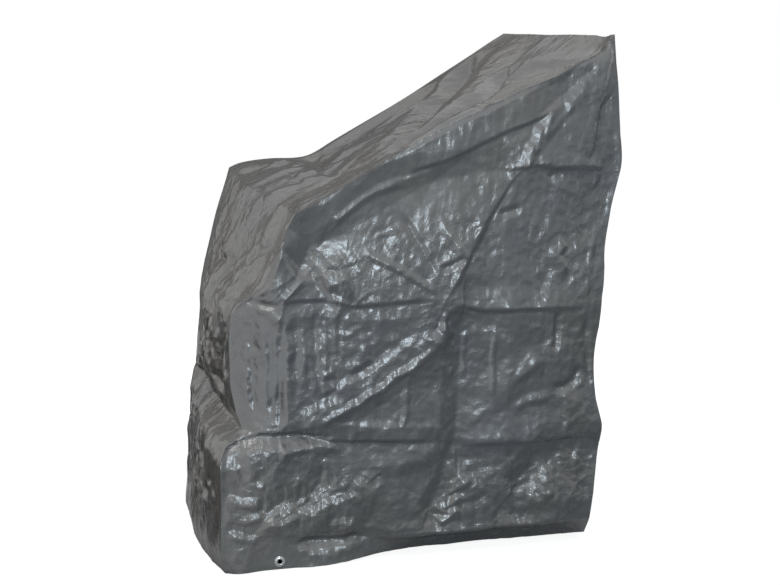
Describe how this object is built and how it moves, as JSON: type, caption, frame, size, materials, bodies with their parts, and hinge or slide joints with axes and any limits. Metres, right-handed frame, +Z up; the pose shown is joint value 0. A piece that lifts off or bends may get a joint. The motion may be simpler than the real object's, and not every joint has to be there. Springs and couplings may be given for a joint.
{
  "type": "stacking chair cover",
  "caption": "Fitted rain cover of grey woven sheet for a stack of garden chairs: high back, sloping top, low front, open foot, eyelet in each side hem.",
  "frame": {"origin": "middle of the cover's bounding box, at the floor under it", "axes": "+Z up; -Y towards the low front; +X towards the right side as seen from in front"},
  "size_m": [0.7269, 0.9709, 1.2031],
  "materials": {
    "sheet": "glossy laminated woven polyethylene sheet, dark grey, creased",
    "eyelet": "bright pressed metal"
  },
  "bodies": {
    "root": {"centre_strip": "sheet", "right_side_panel": "sheet", "left_side_panel": "sheet", "right_hem_strip": "sheet", "left_hem_strip": "sheet", "right_eyelet": "eyelet", "left_eyelet": "eyelet"}
  },
  "joints": []
}
